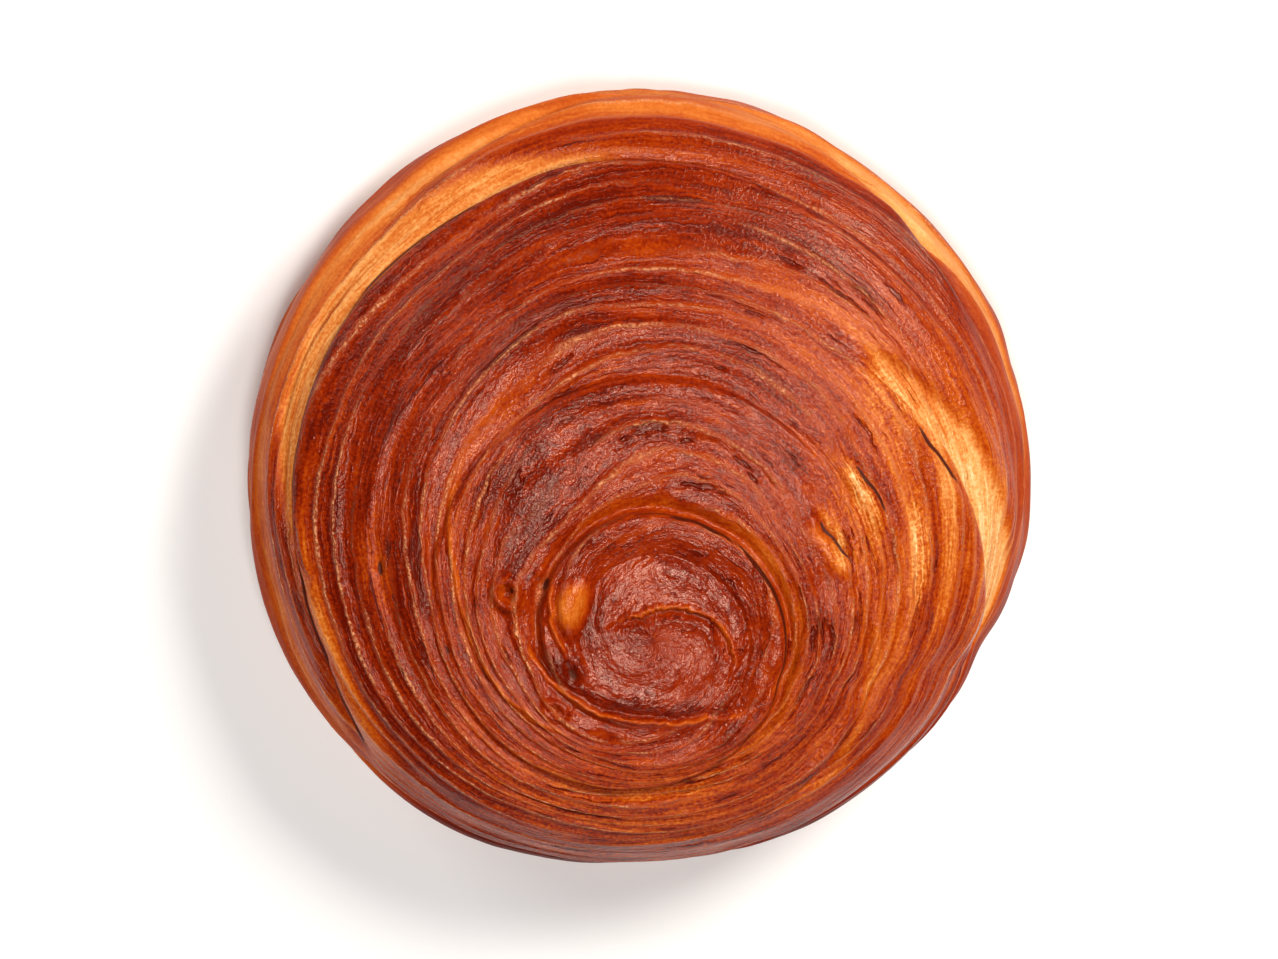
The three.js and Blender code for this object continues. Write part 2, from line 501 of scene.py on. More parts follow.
@dataclass(frozen=True)
class Spot:
    """A mark on the face: place in turns and level, half lengths and height in mm."""

    turn: float
    level: float
    along: float
    across: float
    look: Look = Look.PATCH
    height: float = 0.0
    bake: float = 0.0
    streaks: float = 0.0

    def press(self, grid: CrustGrid, crust: Crust) -> None:
        """Adds the mark, by the distance from its middle, which is 1 on its edge.

        A blister is a bell of the distance's square, and a slit a hollow of that form with a crack of
        painted shade. A crater is a bell round the edge less one in the middle. A patch has only colour and
        streaks.

        Args:
            grid: where the points lie.
            crust: changed in place.
        """
        distance = grid.spot_distance(self.turn, self.level, self.along, self.across)
        mound = bell(distance ** 2, 0.0, 1.0)
        crust.bake += self.bake * mound
        crust.streaks += self.streaks * mound
        if self.look is Look.CRATER:
            crust.relief += self.height * (bell(distance, 1.0, 0.4) - 0.8 * bell(distance, 0.0, 0.6))
        elif self.look is Look.SLIT:
            crust.relief -= self.height * mound
            crust.crack[:] = np.maximum(crust.crack, tent(distance, 1.3))
        elif self.look is Look.BLISTER:
            crust.relief += self.height * mound


@dataclass(frozen=True)
class Split:
    """A crack between layers away from the coil's edge, its levels at even steps of its turns.

    Strips just inside it and just outside it, each with its own reach in mm, may stand up as lips and
    be darker or paler, some from their bake and some as painted shade and highlight on a lip.
    """

    first: float
    last: float
    levels: tuple[float, ...]
    open: float
    depth: float
    crooked: float = 0.25
    inner_reach: float = 1.0
    outer_reach: float = 1.0
    inner_lip: float = 0.0
    outer_lip: float = 0.0
    inner_bake_and_shade: float = 0.0
    outer_bake_and_highlight: float = 0.0
    crooks_per_turn: float = 90.0

    def press(self, grid: CrustGrid, crust: Crust) -> None:
        """Adds the crack as a groove and the strips along it as bells, which all fade at both ends.

        Args:
            grid: where the points lie.
            crust: changed in place.
        """
        along = grid.along(self.first, self.last)
        level = np.interp(along, np.linspace(0.0, 1.0, len(self.levels)), self.levels)
        wander = Wander(61, 101, 3).at(along * (self.last - self.first) * self.crooks_per_turn, np.array(0.5))
        past = (grid.level - level) * grid.scale + self.crooked * wander
        window = smoothstep(0.0, 0.25, along) * (1.0 - smoothstep(0.7, 1.0, along))
        inner = window * bell(past, -0.4 - self.inner_reach, self.inner_reach)
        outer = window * bell(past, 0.4 + self.outer_reach, self.outer_reach)
        crust.relief += self.inner_lip * inner + self.outer_lip * outer
        crust.relief -= self.depth * window * bell(past, 0.0, 0.7)
        # Darker and paler strips: bake, and on some splits painted shade and highlight on the lip.
        crust.bake += self.inner_bake_and_shade * inner + self.outer_bake_and_highlight * outer
        # Painted shade fills the crack.
        gap = self.open * window * (0.8 + 0.2 * wander) * tent(past, 0.62)
        crust.crack[:] = np.maximum(crust.crack, gap)


@dataclass(frozen=True)
class BareBand:
    """A strip of dough that the egg wash missed, sunk between two layers, with a crack of painted shade
    inside it.

    Its inner and outer levels and its bake are given at even steps of its turns.
    """

    first: float
    last: float
    inner: tuple[float, ...]
    outer: tuple[float, ...]
    bakes: tuple[float, ...]
    depth: float
    open: float

    def press(self, grid: CrustGrid, crust: Crust) -> None:
        """Sinks the strip between two raised bells, sets its bake and takes its glaze away.

        Args:
            grid: where the points lie.
            crust: changed in place.
        """
        along = grid.along(self.first, self.last)
        steps = np.linspace(0.0, 1.0, len(self.inner))
        inner, outer, pale = (np.interp(along, steps, row) for row in (self.inner, self.outer, self.bakes))
        past = (grid.level - inner) * grid.scale
        before = (outer - grid.level) * grid.scale
        window = smoothstep(0.0, 0.1, along) * (1.0 - smoothstep(0.9, 1.0, along))
        inside = window * smoothstep(-0.3, 0.5, past) * smoothstep(-0.4, 0.7, before)
        crust.relief -= self.depth * inside
        crust.relief += window * 0.5 * bell(past, -1.5, 1.5) + window * 0.4 * bell(before, -1.2, 1.3)
        crust.bake += 0.85 * inside * (pale - crust.bake)
        # Painted shade in the crack inside the strip.
        crust.crack[:] = np.maximum(crust.crack, self.open * window * tent(past, 0.9))
        crust.glaze *= 1.0 - 0.8 * inside


@dataclass(frozen=True)
class SideFold:
    """A groove round the side: its height in mm, sway, count and phase of its waves, and its depth."""

    height: float
    sway: float
    waves: int
    phase: float
    depth: float

    def press(self, grid: CrustGrid, crust: Crust) -> None:
        """Cuts the groove as a bell, with a crack of painted shade in it.

        The layer over it rolls out a little and is darker, and the one under it is paler.

        Args:
            grid: where the points lie.
            crust: changed in place.
        """
        height = self.height + self.sway * np.sin(self.waves * grid.angle + self.phase)
        strength = 0.6 + 0.4 * np.sin(grid.angle * (self.waves + 1) - self.phase)
        on_side = smoothstep(0.93, 1.0, grid.level) * ~grid.under
        over = grid.height - height
        crust.relief += on_side * strength * self.depth * (0.5 * bell(over, 2.0, 1.8) - bell(over, 0.0, 1.2))
        crust.bake += on_side * strength * (0.14 * bell(over, 2.4, 1.6) - 0.16 * bell(over, -1.6, 1.5))
        # Painted shade along the groove, as a crack.
        crust.crack[:] = np.maximum(crust.crack, 0.85 * on_side * strength * tent(over, 0.9))


Mark = Spot | Split | BareBand | SideFold


@dataclass(frozen=True)
class EggWashedCrust:
    """Laminated dough baked under egg wash.

    Where the wash lies the crust is deep red-brown with a satin gloss, streaked along its layers, and
    the cut edges of the layers show as thin golden lines, which are partly painted highlight, each with
    a dark line of painted shade beside it. Where there is no wash, on the side and between the layers,
    it is pale gold and matt. Cracks and slits are filled with painted shade. Patterns are drawn at their
    sizes in real crust: streaks a few tenths of a millimetre wide, and grain of half a millimetre, as of
    small bubbles.
    """

    name: str = "egg_washed_laminated_crust"
    bake_colours: tuple[tuple[float, str], ...] = (
        (0.0, "f8ce94"),
        (0.2, "e8a25a"),
        (0.4, "cf7026"),
        (0.56, "b74d0a"),
        (0.7, "a13604"),
        (0.82, "8b2301"),
        (0.92, "761700"),
        (1.0, "5c0c00"),
    )
    # The layers' edges, partly painted highlight where they catch the light.
    edge_and_glint_colour: str = "f39c66"
    # Painted shade for cracks, slits and side grooves.
    crack_shade_colour: str = "4a1204"
    gloss_colour: str = "ffd8c0"
    index: float = 1.33
    # Roughness with and without the wash, and what streaks and cracks add to it.
    glazed_roughness: float = 0.18
    bare_roughness: float = 0.6
    streak_roughness: float = 0.24
    crack_roughness: float = 0.3
    # Streaks, coarse and fine: cells in a turn, cells in a layer, share in the bake.
    strands: tuple[float, float, float] = (18.0, 0.8, 0.19)
    threads: tuple[float, float, float] = (44.0, 3.2, 0.62)
    # Round noises: size, and share in the bake or, for the crook, how far it bends the layers.
    crook_size_mm: float = 2.6
    crook_mm: float = 1.0
    mottle_mm: float = 7.0
    mottle_share: float = 0.22
    grain_mm: float = 0.5
    grain_share: float = 0.46
    # Lines at the layers' edges: reach, cover of the pale one, which is partly painted highlight, and
    # shares in the bake of the soft one, of the dark one, which is painted shade, and of painted shade in
    # pits.
    line_mm: float = 0.4
    pale_line_and_glint: float = 0.8
    soft_line: float = 0.1
    shade_line: float = 0.12
    pit_shade: float = 0.14
    # Relief of each pattern.
    strand_relief_mm: float = 0.4
    thread_relief_mm: float = 0.12
    line_relief_mm: float = 0.14
    pit_relief_mm: float = -0.3
    grain_relief_mm: float = 0.09

    def coiled_noise(self, tree: bpy.types.NodeTree, strip: bpy.types.Node, along: float, across: float,
                     seed: float) -> bpy.types.Node:
        """Noise drawn out along the layers, closed over the seam by a fade as in LayerNoise.

        Args:
            tree: the material's node tree.
            strip: node whose first output is the layers' map.
            along: cells in one turn.
            across: cells in one layer.
            seed: moves the noise.

        Returns:
            A node whose first output has values round a half.
        """
        cells = (along, across * LAYERS_IN_MAP, 1.0)
        readings = []
        for offset in ((0.0, 0.0, seed), (-along, LAYERS_PER_TURN * across, seed)):
            place = add_node(tree, "VectorMath", {0: strip, 1: cells, 2: offset}, operation="MULTIPLY_ADD")
            readings.append(add_node(tree, "TexNoise", {"Vector": place, "Scale": 1.0, "Detail": 3.0,
                                                        "Roughness": 0.55}))
        turn = add_node(tree, "SeparateXYZ", {0: strip})
        fade = add_node(tree, "MapRange", {"Value": turn, "From Min": SEAM_FROM, "From Max": 1.0},
                        interpolation_type="SMOOTHSTEP")
        return add_node(tree, "Mix", {0: fade, 2: readings[0], 3: readings[1]})

    def material(self) -> bpy.types.Material:
        """Makes the material: the mesh gives bake, glaze, crack shade and edges, and finer patterns go on
        top.

        Returns:
            The finished material.
        """
        material = bpy.data.materials.new(self.name)
        material.use_nodes = True
        tree = material.node_tree
        shader = tree.nodes["Principled BSDF"]
        bake, glaze, crack, streaks, edges = (
            add_node(tree, "Attribute", attribute_name=name).outputs["Fac"]
            for name in ("bake", "glaze", "crack", "streaks", "edges"))
        place = add_node(tree, "TexCoord").outputs["Object"]
        sway, mottle, grain = (
            add_node(tree, "TexNoise", {"Vector": place, "Scale": 1.0 / (size * MM), "Detail": detail,
                                        "Roughness": 0.6})
            for size, detail in ((self.crook_size_mm, 3.0), (self.mottle_mm, 3.0), (self.grain_mm, 2.0)))
        sway = add_node(tree, "VectorMath", {0: sway, 1: (0.5, 0.5, 0.5)}, operation="SUBTRACT")
        crook = (0.0, self.crook_mm / LAYER_MM / LAYERS_IN_MAP, 0.0)
        strip = add_node(tree, "UVMap", uv_map=LAYER_MAP)
        strip = add_node(tree, "VectorMath", {0: sway, 1: crook, 2: strip}, operation="MULTIPLY_ADD")

        strands = self.coiled_noise(tree, strip, self.strands[0], self.strands[1], 3.7)
        threads = self.coiled_noise(tree, strip, self.threads[0], self.threads[1], 11.3)

        # Streaks and grain round a level of 0, which fade out where the crust is smooth.
        rows = []
        for noise, share in ((strands, self.strands[2]), (threads, self.threads[2]),
                             (grain, self.grain_share)):
            row = add_node(tree, "Math", {0: noise, 1: 0.5}, operation="SUBTRACT")
            rows.append((add_node(tree, "Math", {0: row, 1: streaks}, operation="MULTIPLY"), share))

        # Where one layer ends on the next: a thin pale line, which is partly painted highlight, a soft pale
        # one round it and a dark one beside it, which is painted shade beside the ridge. The threads break
        # each between two values. Strands fade the thin one and the grain dots it.
        count = add_node(tree, "SeparateXYZ", {0: strip}).outputs["Y"]
        phase = add_node(tree, "Math", {0: count, 1: LAYERS_IN_MAP / LAYERS_PER_EDGE}, operation="MULTIPLY")
        lines = []
        for shift, reach, low, high in ((0.0, self.line_mm, 0.4, 0.5), (0.0, 1.0, 0.34, 0.48),
                                        (-0.6, 0.4, 0.62, 0.5)):
            moved = add_node(tree, "Math", {0: phase, 1: shift / EDGE_MM}, operation="ADD")
            away = add_node(tree, "Math", {0: moved, 1: 0.5}, operation="PINGPONG")
            line = add_node(tree, "MapRange", {"Value": away, "From Min": reach / EDGE_MM, "From Max": 0.0},
                            interpolation_type="SMOOTHSTEP")
            breaks = add_node(tree, "MapRange", {"Value": threads, "From Min": low, "From Max": high},
                              interpolation_type="SMOOTHSTEP")
            broken = add_node(tree, "Math", {0: line, 1: breaks}, operation="MULTIPLY")
            lines.append(add_node(tree, "Math", {0: broken, 1: edges}, operation="MULTIPLY"))
        pale, soft, dark = lines
        for noise, low, high, most in ((grain, 0.42, 0.58, 1.2), (strands, 0.4, 0.54, 1.0)):
            shown = add_node(tree, "MapRange", {"Value": noise, "From Min": low, "From Max": high,
                                                "To Min": 0.15, "To Max": most})
            pale = add_node(tree, "Math", {0: pale, 1: shown}, operation="MULTIPLY")
        # Painted shade in small pits, which the bump also sinks.
        pits = add_node(tree, "MapRange", {"Value": strands, "From Min": 0.63, "From Max": 0.7},
                        interpolation_type="SMOOTHSTEP")
        pits = add_node(tree, "Math", {0: pits, 1: streaks}, operation="MULTIPLY")

        level = add_node(tree, "Math", {0: mottle, 1: self.mottle_share, 2: bake}, operation="MULTIPLY_ADD")
        level = add_node(tree, "Math", {0: level, 1: self.mottle_share / 2.0}, operation="SUBTRACT")
        for pattern, share in rows + [(soft, -self.soft_line), (dark, self.shade_line), (pits, self.pit_shade)]:
            level = add_node(tree, "Math", {0: pattern, 1: share, 2: level}, operation="MULTIPLY_ADD")
        ramp = add_node(tree, "ValToRGB", {0: level})
        stops = ramp.color_ramp.elements
        while len(stops) < len(self.bake_colours):
            stops.new(0.5)
        for stop, (position, colour) in zip(stops, self.bake_colours):
            stop.position = position
            stop.color = linear(colour)
        # The pale line's colour is partly painted highlight on the layer's edge.
        shown = add_node(tree, "Math", {0: pale, 1: self.pale_line_and_glint}, operation="MULTIPLY", use_clamp=True)
        edged = add_node(tree, "Mix", {0: shown, 6: ramp, 7: linear(self.edge_and_glint_colour)}, data_type="RGBA")
        # Painted shade: the crack shade colour over cracks, slits and side grooves.
        gap = add_node(tree, "MapRange", {"Value": crack, "From Min": 0.46, "From Max": 0.66},
                       interpolation_type="SMOOTHSTEP")
        colour = add_node(tree, "Mix", {0: gap, 6: edged.outputs[2], 7: linear(self.crack_shade_colour)},
                          data_type="RGBA")
        tree.links.new(colour.outputs[2], shader.inputs["Base Color"])

        roughness = add_node(tree, "MapRange", {"Value": glaze, "To Min": self.bare_roughness,
                                                "To Max": self.glazed_roughness})
        for pattern, share in ((threads, self.streak_roughness), (gap, self.crack_roughness)):
            roughness = add_node(tree, "Math", {0: pattern, 1: share, 2: roughness}, operation="MULTIPLY_ADD")
        satin = add_node(tree, "Math", {0: roughness, 1: self.streak_roughness / 2.0}, operation="SUBTRACT")
        tree.links.new(satin.outputs[0], shader.inputs["Roughness"])
        shader.inputs["IOR"].default_value = self.index
        shader.inputs["Specular Tint"].default_value = linear(self.gloss_colour)

        normal = None
        for height, relief_mm in ((rows[0][0], self.strand_relief_mm), (rows[1][0], self.thread_relief_mm),
                                  (pale, self.line_relief_mm), (pits, self.pit_relief_mm),
                                  (rows[2][0], self.grain_relief_mm)):
            inputs = {"Height": height, "Distance": relief_mm * MM}
            normal = add_node(tree, "Bump", inputs if normal is None else inputs | {"Normal": normal})
        tree.links.new(normal.outputs[0], shader.inputs["Normal"])
        return material


@dataclass
class BunCrust:
    """The whole crust of the bun as one closed surface, all lengths in mm.

    Relief is the height of a layer's ridge and step, of the bands and lumps all over, of the flaky bands
    on the side and of slow ripples on the face. Crook is how far the coil's edge wanders. Bake is
    the level of the face, the side and the base, and what the right lobe adds to the face's.
    """

    name: str = "bun_crust"
    node: str = "bun"
    body: str = "root"
    slot: str = "crust"
    profile: Profile = Profile()
    coil: Coil = Coil()
    heart: tuple[float, float] = (2.8, -21.5)
    columns: int = 320
    rings: tuple[int, int, int] = (238, 52, 14)
    lip_reach: float = 4.5
    cap_rise: float = 1.1
    cap_share: float = 0.42
    crook: float = 0.3
    crooks_per_turn: float = 42.0
    wide_bands: LayerNoise = LayerNoise(31, 6.0, 3.6)
    fine_bands: LayerNoise = LayerNoise(33, 16.0, 1.3)
    flaky_bands: LayerNoise = LayerNoise(34, 3.0, 1.9)
    edge_breaks: LayerNoise = LayerNoise(32, 11.0, 1.9)
    lumps: CrustNoise = CrustNoise(41, 44, 31, 3.2)
    patches: CrustNoise = CrustNoise(51, 9, 13, 11.0, strength=0.06)
    ripple_length: float = 5.6
    ridge_relief: float = 0.14
    step_relief: float = 0.11
    band_relief: float = 0.12
    lump_relief: float = 0.13
    flaky_relief: float = 0.7
    ripple_relief: float = 0.1
    face_bake: float = 0.88
    lobe_bake: float = -0.2
    side_bake: float = 0.5
    base_bake: float = 0.58
    rim_turns: tuple[float, ...] = (0.0, 0.12, 0.25, 0.38, 0.46, 0.5, 0.56, 0.65, 0.75, 0.84, 0.9)
    rim_levels: tuple[float, ...] = (0.95, 0.956, 0.965, 0.98, 1.02, 1.03, 1.03, 1.04, 1.06, 1.02, 0.95)
    marks: tuple[Mark, ...] = (
        # The cap's S-shaped split, its lower rim and the crescent at its left. On the first two the paler
        # strip outside is partly painted highlight on the lip, and the darker strip inside is painted shade.
        Split(0.0, 0.64, (0.141, 0.09, 0.063, 0.066, 0.082, 0.113, 0.16, 0.21, 0.224), open=0.75, depth=0.6,
              inner_reach=1.3, inner_lip=0.15, outer_reach=0.34, outer_lip=0.5, inner_bake_and_shade=0.06,
              outer_bake_and_highlight=-0.28),
        Split(0.585, 1.03, (0.37, 0.25, 0.216, 0.216, 0.245, 0.3, 0.36), open=0.4, depth=0.5,
              outer_reach=0.36, outer_lip=0.6, inner_bake_and_shade=0.1, outer_bake_and_highlight=-0.32),
        Split(0.95, 1.09, (0.21, 0.225, 0.24, 0.255, 0.268, 0.272), open=0.6, depth=0.4,
              outer_reach=0.35, outer_lip=0.6, outer_bake_and_highlight=-0.3),
        # Splits round the cap, on its left and on its right.
        Split(0.82, 1.12, (0.35, 0.39, 0.44, 0.475, 0.51, 0.57, 0.6), open=0.2, depth=0.35,
              inner_reach=0.4, inner_lip=0.3, inner_bake_and_shade=-0.3, outer_bake_and_highlight=0.05),
        Split(0.5, 0.68, (0.54, 0.585, 0.635, 0.7, 0.76), open=0.5, depth=0.8, inner_lip=0.3,
              outer_reach=0.7, outer_bake_and_highlight=-0.2),
        # Two short tears in the right lobe.
        Split(0.412, 0.485, (0.475, 0.49, 0.505, 0.53), open=1.0, depth=0.7, crooked=0.6, inner_reach=1.2,
              inner_lip=0.4, inner_bake_and_shade=-0.3, outer_reach=0.5, outer_bake_and_highlight=-0.15),
        Split(0.406, 0.468, (0.6, 0.62, 0.628, 0.625), open=1.0, depth=0.6, crooked=0.6, inner_reach=1.2,
              inner_lip=0.6, inner_bake_and_shade=-0.22, outer_bake_and_highlight=0.1),
        # The left rim, the two bare strips, and a tear beside the right one.
        Split(0.86, 1.02, (1.0, 0.93, 0.887, 0.889, 0.895, 0.9), open=1.1, depth=1.2, inner_reach=1.7,
              inner_lip=0.4, inner_bake_and_shade=-0.34),
        BareBand(-0.03, 0.25, (0.89, 0.896, 0.914, 0.91, 0.915), (0.89, 0.95, 0.962, 0.952, 0.915),
                 (0.4, 0.3, 0.26, 0.3, 0.45), depth=0.8, open=0.9),
        BareBand(0.38, 0.58, (0.735, 0.775, 0.832, 0.9, 0.985), (0.775, 0.83, 0.9, 0.985, 1.0),
                 (0.55, 0.45, 0.28, 0.14, 0.14), depth=0.9, open=0.25),
        Split(0.42, 0.487, (0.755, 0.775, 0.8, 0.832), open=1.0, depth=0.6, crooked=0.4, inner_lip=0.4,
              outer_bake_and_highlight=-0.15),
        # Paler and darker areas, from the right lobe to the front edge.
        Spot(0.46, 0.8, 26.0, 8.0, bake=-0.11),
        Spot(0.47, 0.7, 34.0, 15.0, bake=-0.02, streaks=0.2),
        Spot(0.01, 0.835, 30.0, 2.4, bake=-0.12, streaks=0.3),
        Spot(0.44, 0.58, 9.0, 3.0, bake=-0.1, streaks=0.5),
        Spot(0.448, 0.5, 4.5, 1.2, bake=-0.22, streaks=0.6),
        Spot(0.425, 0.6, 3.5, 1.1, bake=-0.18, streaks=0.6),
        Spot(0.41, 0.74, 7.0, 2.6, bake=-0.2, streaks=0.6),
        Spot(0.49, 0.7, 9.0, 1.6, bake=-0.14, streaks=0.8),
        Spot(0.0, 0.69, 9.0, 2.4, bake=-0.14, streaks=0.3),
        Spot(0.75, 0.62, 30.0, 9.0, bake=-0.13, streaks=0.7),
        # Painted shade: darker along the front edge, where the crust slopes away.
        Spot(0.74, 0.98, 36.0, 5.0, bake=0.1),
        # The cap's pale blister on its dark ring, and the small holes and bubbles round it.
        Spot(0.055, 0.21, 4.6, 3.4, bake=0.14),
        Spot(0.055, 0.224, 3.8, 2.4, Look.BLISTER, height=1.2, bake=-0.58),
        Spot(0.062, 0.295, 1.8, 0.7, Look.SLIT, height=0.5),
        Spot(0.029, 0.375, 1.9, 1.7, Look.CRATER, height=1.0, bake=-0.16),
        Spot(0.034, 0.366, 0.8, 0.6, Look.SLIT, height=0.3),
        Spot(0.07, 0.314, 0.9, 0.8, Look.BLISTER, height=0.5),
        Spot(0.885, 0.327, 1.4, 1.2, Look.CRATER, height=0.5, bake=-0.05),
        Spot(0.926, 0.23, 1.6, 0.9, Look.SLIT, height=0.6),
        # Slits further left, and the folds of the side from the top down.
        Spot(0.001, 0.681, 1.9, 0.7, Look.SLIT, height=0.5, bake=-0.1),
        Spot(0.96, 0.53, 1.2, 0.5, Look.SLIT, height=0.3),
        SideFold(height=26.0, sway=2.6, waves=2, phase=0.4, depth=1.0),
        SideFold(height=19.0, sway=3.0, waves=3, phase=0.6, depth=1.6),
        SideFold(height=12.0, sway=2.4, waves=2, phase=4.4, depth=1.6),
        SideFold(height=6.5, sway=1.5, waves=3, phase=5.2, depth=0.9),
    )

    def __post_init__(self) -> None:
        """Works out the grid."""
        self.grid = CrustGrid(self.profile, self.coil, self.heart, self.columns, self.rings)

    def plain_crust(self) -> Crust:
        """The crust with its coil and layers, before the marks.

        The coil's lips rise towards their edge and drop off just past it, into a groove with a slope
        beyond. Every LAYERS_PER_EDGE layers there is an edge: a thin ridge at the top of a step, which
        comes and goes with a noise. Wide and fine bands follow the layers all over, in height and in
        bake, and flaky ones with clear borders on the side and, in bake alone, on the right lobe.

        Returns:
            The crust at each point of the grid.
        """
        grid = self.grid
        crooked = self.crook * Wander(21, 173, 7).at(grid.edge_turns * self.crooks_per_turn, np.array(0.5))
        past = grid.past_edge + crooked * smoothstep(0.5, 1.0, grid.edge_turns)
        groove = self.coil.groove(grid.edge_turns)
        lips = self.coil.lip(grid.edge_turns) * bell(past, 0.0, np.where(past < 0.0, self.lip_reach, 0.5))
        grooves = groove * bell(past, 0.9, np.where(past < 0.9, 0.5, 1.2))
        slopes = 0.45 * groove * bell(past, 0.0, 3.4) * smoothstep(0.0, 1.2, past)

        wide = self.wide_bands.at(grid.turn, grid.layer)
        fine = self.fine_bands.at(grid.turn, grid.layer)
        flaky = smoothstep(-0.25, 0.25, self.flaky_bands.at(grid.turn, grid.layer)) - 0.5
        from_edge = (grid.layer / LAYERS_PER_EDGE + 0.5) % 1.0 - 0.5
        shows = smoothstep(-0.8, 0.2, self.edge_breaks.at(grid.turn, grid.layer))
        shows *= 0.82 + 0.18 * np.cos(TURN * (grid.turn - 0.88))
        packed = np.gradient(grid.layer, axis=0) / np.gradient(grid.travel, axis=0) * LAYER_MM
        edges = shows * smoothstep(13.5, 18.0, grid.travel) * smoothstep(0.35, 0.75, packed)
        ridge = bell(from_edge * EDGE_MM, 0.0, 0.45)
        step = -np.tanh(from_edge * EDGE_MM / 0.35) * (1.0 - 2.0 * np.abs(from_edge))
        lumps = smoothstep(4.0, 20.0, grid.travel) * self.lumps.at(grid.turn, grid.travel)
        length = grid.level * grid.radius / self.ripple_length
        ripples = np.sin(TURN * (length - 2.0 * grid.turn + 0.25 * wide))
        calm = smoothstep(1.5, 12.0, grid.travel)
        side = smoothstep(0.93, 1.0, grid.level)
        foot = smoothstep(0.0, 5.0, grid.height)

        cap = self.cap_rise * bell(grid.level, 0.0, self.cap_share)
        face = cap + calm * (lips - grooves - slopes + self.ripple_relief * ripples)
        texture = (edges * (self.ridge_relief * ridge + self.step_relief * step)
                   + calm * self.band_relief * (wide + fine) + self.lump_relief * lumps)
        texture = texture * (1.0 + 1.2 * side) + self.flaky_relief * side * flaky
        relief = (1.0 - side) * face + texture * foot

        opened = np.clip(groove / 1.3, 0.0, 1.0)
        wall = opened * bell(past, 1.9, 1.4) * (past > -0.5)
        bands = 0.055 * wide + 0.06 * fine + (0.25 * self.lobe() + 0.2 * side) * flaky
        bake = self.bake_map() + calm * bands + 0.03 * lumps - 0.2 * wall * (1.0 - side)
        # Painted shade in the coil's grooves where they open.
        crack = opened * (0.9 + 1.2 * crooked) * tent(past - 0.3, 0.62) * (1.0 - side)
        glaze = smoothstep(0.45, 0.7, bake) * (1.0 - 0.8 * side) * ~grid.under
        streaks = (0.5 + 0.5 * smoothstep(6.0, 24.0, grid.travel)) * (1.0 - 0.55 * side)
        return Crust(relief, bake, crack, glaze, streaks, edges)

    def lobe(self) -> np.ndarray:
        """How much a point belongs to the pale, flaky lobe at the right of the face, 0 to 1."""
        return bell(self.grid.turn, 0.47, 0.12) * smoothstep(0.4, 0.7, self.grid.level)

    def bake_map(self) -> np.ndarray:
        """How far the crust is baked: deep on the glazed face, less on the last wrap and the side.

        The face ends at a rim whose level depends on the turn. Beyond it the side is palest at half
        its height. The face is a little darker on the left, paler on the right lobe, and patchy.

        Returns:
            Values from 0, pale dough, to 1, nearly burnt.
        """
        grid = self.grid
        front = 0.5 + 0.5 * np.cos(TURN * (grid.turn - 0.74))
        face = self.face_bake + self.lobe_bake * self.lobe() + 0.03 * np.cos(TURN * grid.turn)
        beyond = grid.level + np.clip(grid.travel - grid.foot_from, 0.0, None) / grid.radius
        rim = np.interp(grid.turn, self.rim_turns, self.rim_levels, period=1.0)
        over = smoothstep(-1.0, 1.0, (beyond - rim) / (0.012 + 0.07 * front ** 2))
        upper = smoothstep(12.0, 26.0, grid.height)
        lower = 1.0 - smoothstep(0.0, 9.0, grid.height)
        side = self.side_bake + 0.1 * upper + 0.12 * lower - 0.06 * bell(grid.turn, 0.5, 0.15)
        inward = smoothstep(0.0, 40.0, self.profile.base_across / 2.0 - grid.out)
        side = np.where(grid.under, self.base_bake - 0.12 * inward, side)
        return face * (1.0 - over) + over * side + self.patches.at(grid.turn, grid.travel)

    def build_mesh(self) -> bpy.types.Object:
        """Puts the surface into a mesh: rings of points between two poles, closed over the seam.

        Returns:
            The object, with the layers' map and the crust's attributes.
        """
        crust = self.plain_crust()
        for mark in self.marks:
            mark.press(self.grid, crust)
        crust.bake = np.clip(crust.bake, 0.05, 1.0)
        places = self.grid.places(crust.relief)[:, :-1]
        points = np.concatenate([places[0].mean(axis=0)[None], places.reshape(-1, 3), np.zeros((1, 3))])
        low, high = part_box(self.node)
        middle = (np.array(low) + np.array(high)) / 2.0 / MM
        points[:, :2] += middle[:2] - (points[:, :2].min(axis=0) + points[:, :2].max(axis=0)) / 2.0
        points[:, 2] -= points[:, 2].min()

        # Numbers of the points: one pole is first, then the rings follow in order, and the other is last.
        here = 1 + np.arange(places.size // 3).reshape(places.shape[:2])
        after = np.roll(here, -1, axis=1)
        quads = np.stack([here[:-1], after[:-1], after[1:], here[1:]], axis=-1)
        pole = np.zeros_like(here[0])
        top = np.stack([pole, after[0], here[0]], axis=-1)
        bottom = np.stack([pole + len(points) - 1, here[-1], after[-1]], axis=-1)

        mesh = bpy.data.meshes.new(self.name)
        faces = [*quads.reshape(-1, 4).tolist(), *top.tolist(), *bottom.tolist()]
        mesh.from_pydata((points * MM).tolist(), [], faces)
        mesh.shade_smooth()
        self.write_layer_map(mesh)
        for name in ("bake", "crack", "glaze", "streaks", "edges"):
            values = getattr(crust, name)[:, :-1]
            numbers = np.concatenate([[values[0].mean()], values.reshape(-1), [values[-1].mean()]])
            mesh.attributes.new(name, "FLOAT", "POINT").data.foreach_set("value", numbers.astype(np.float32))
        piece = bpy.data.objects.new(self.name, mesh)
        bpy.context.scene.collection.objects.link(piece)
        return piece

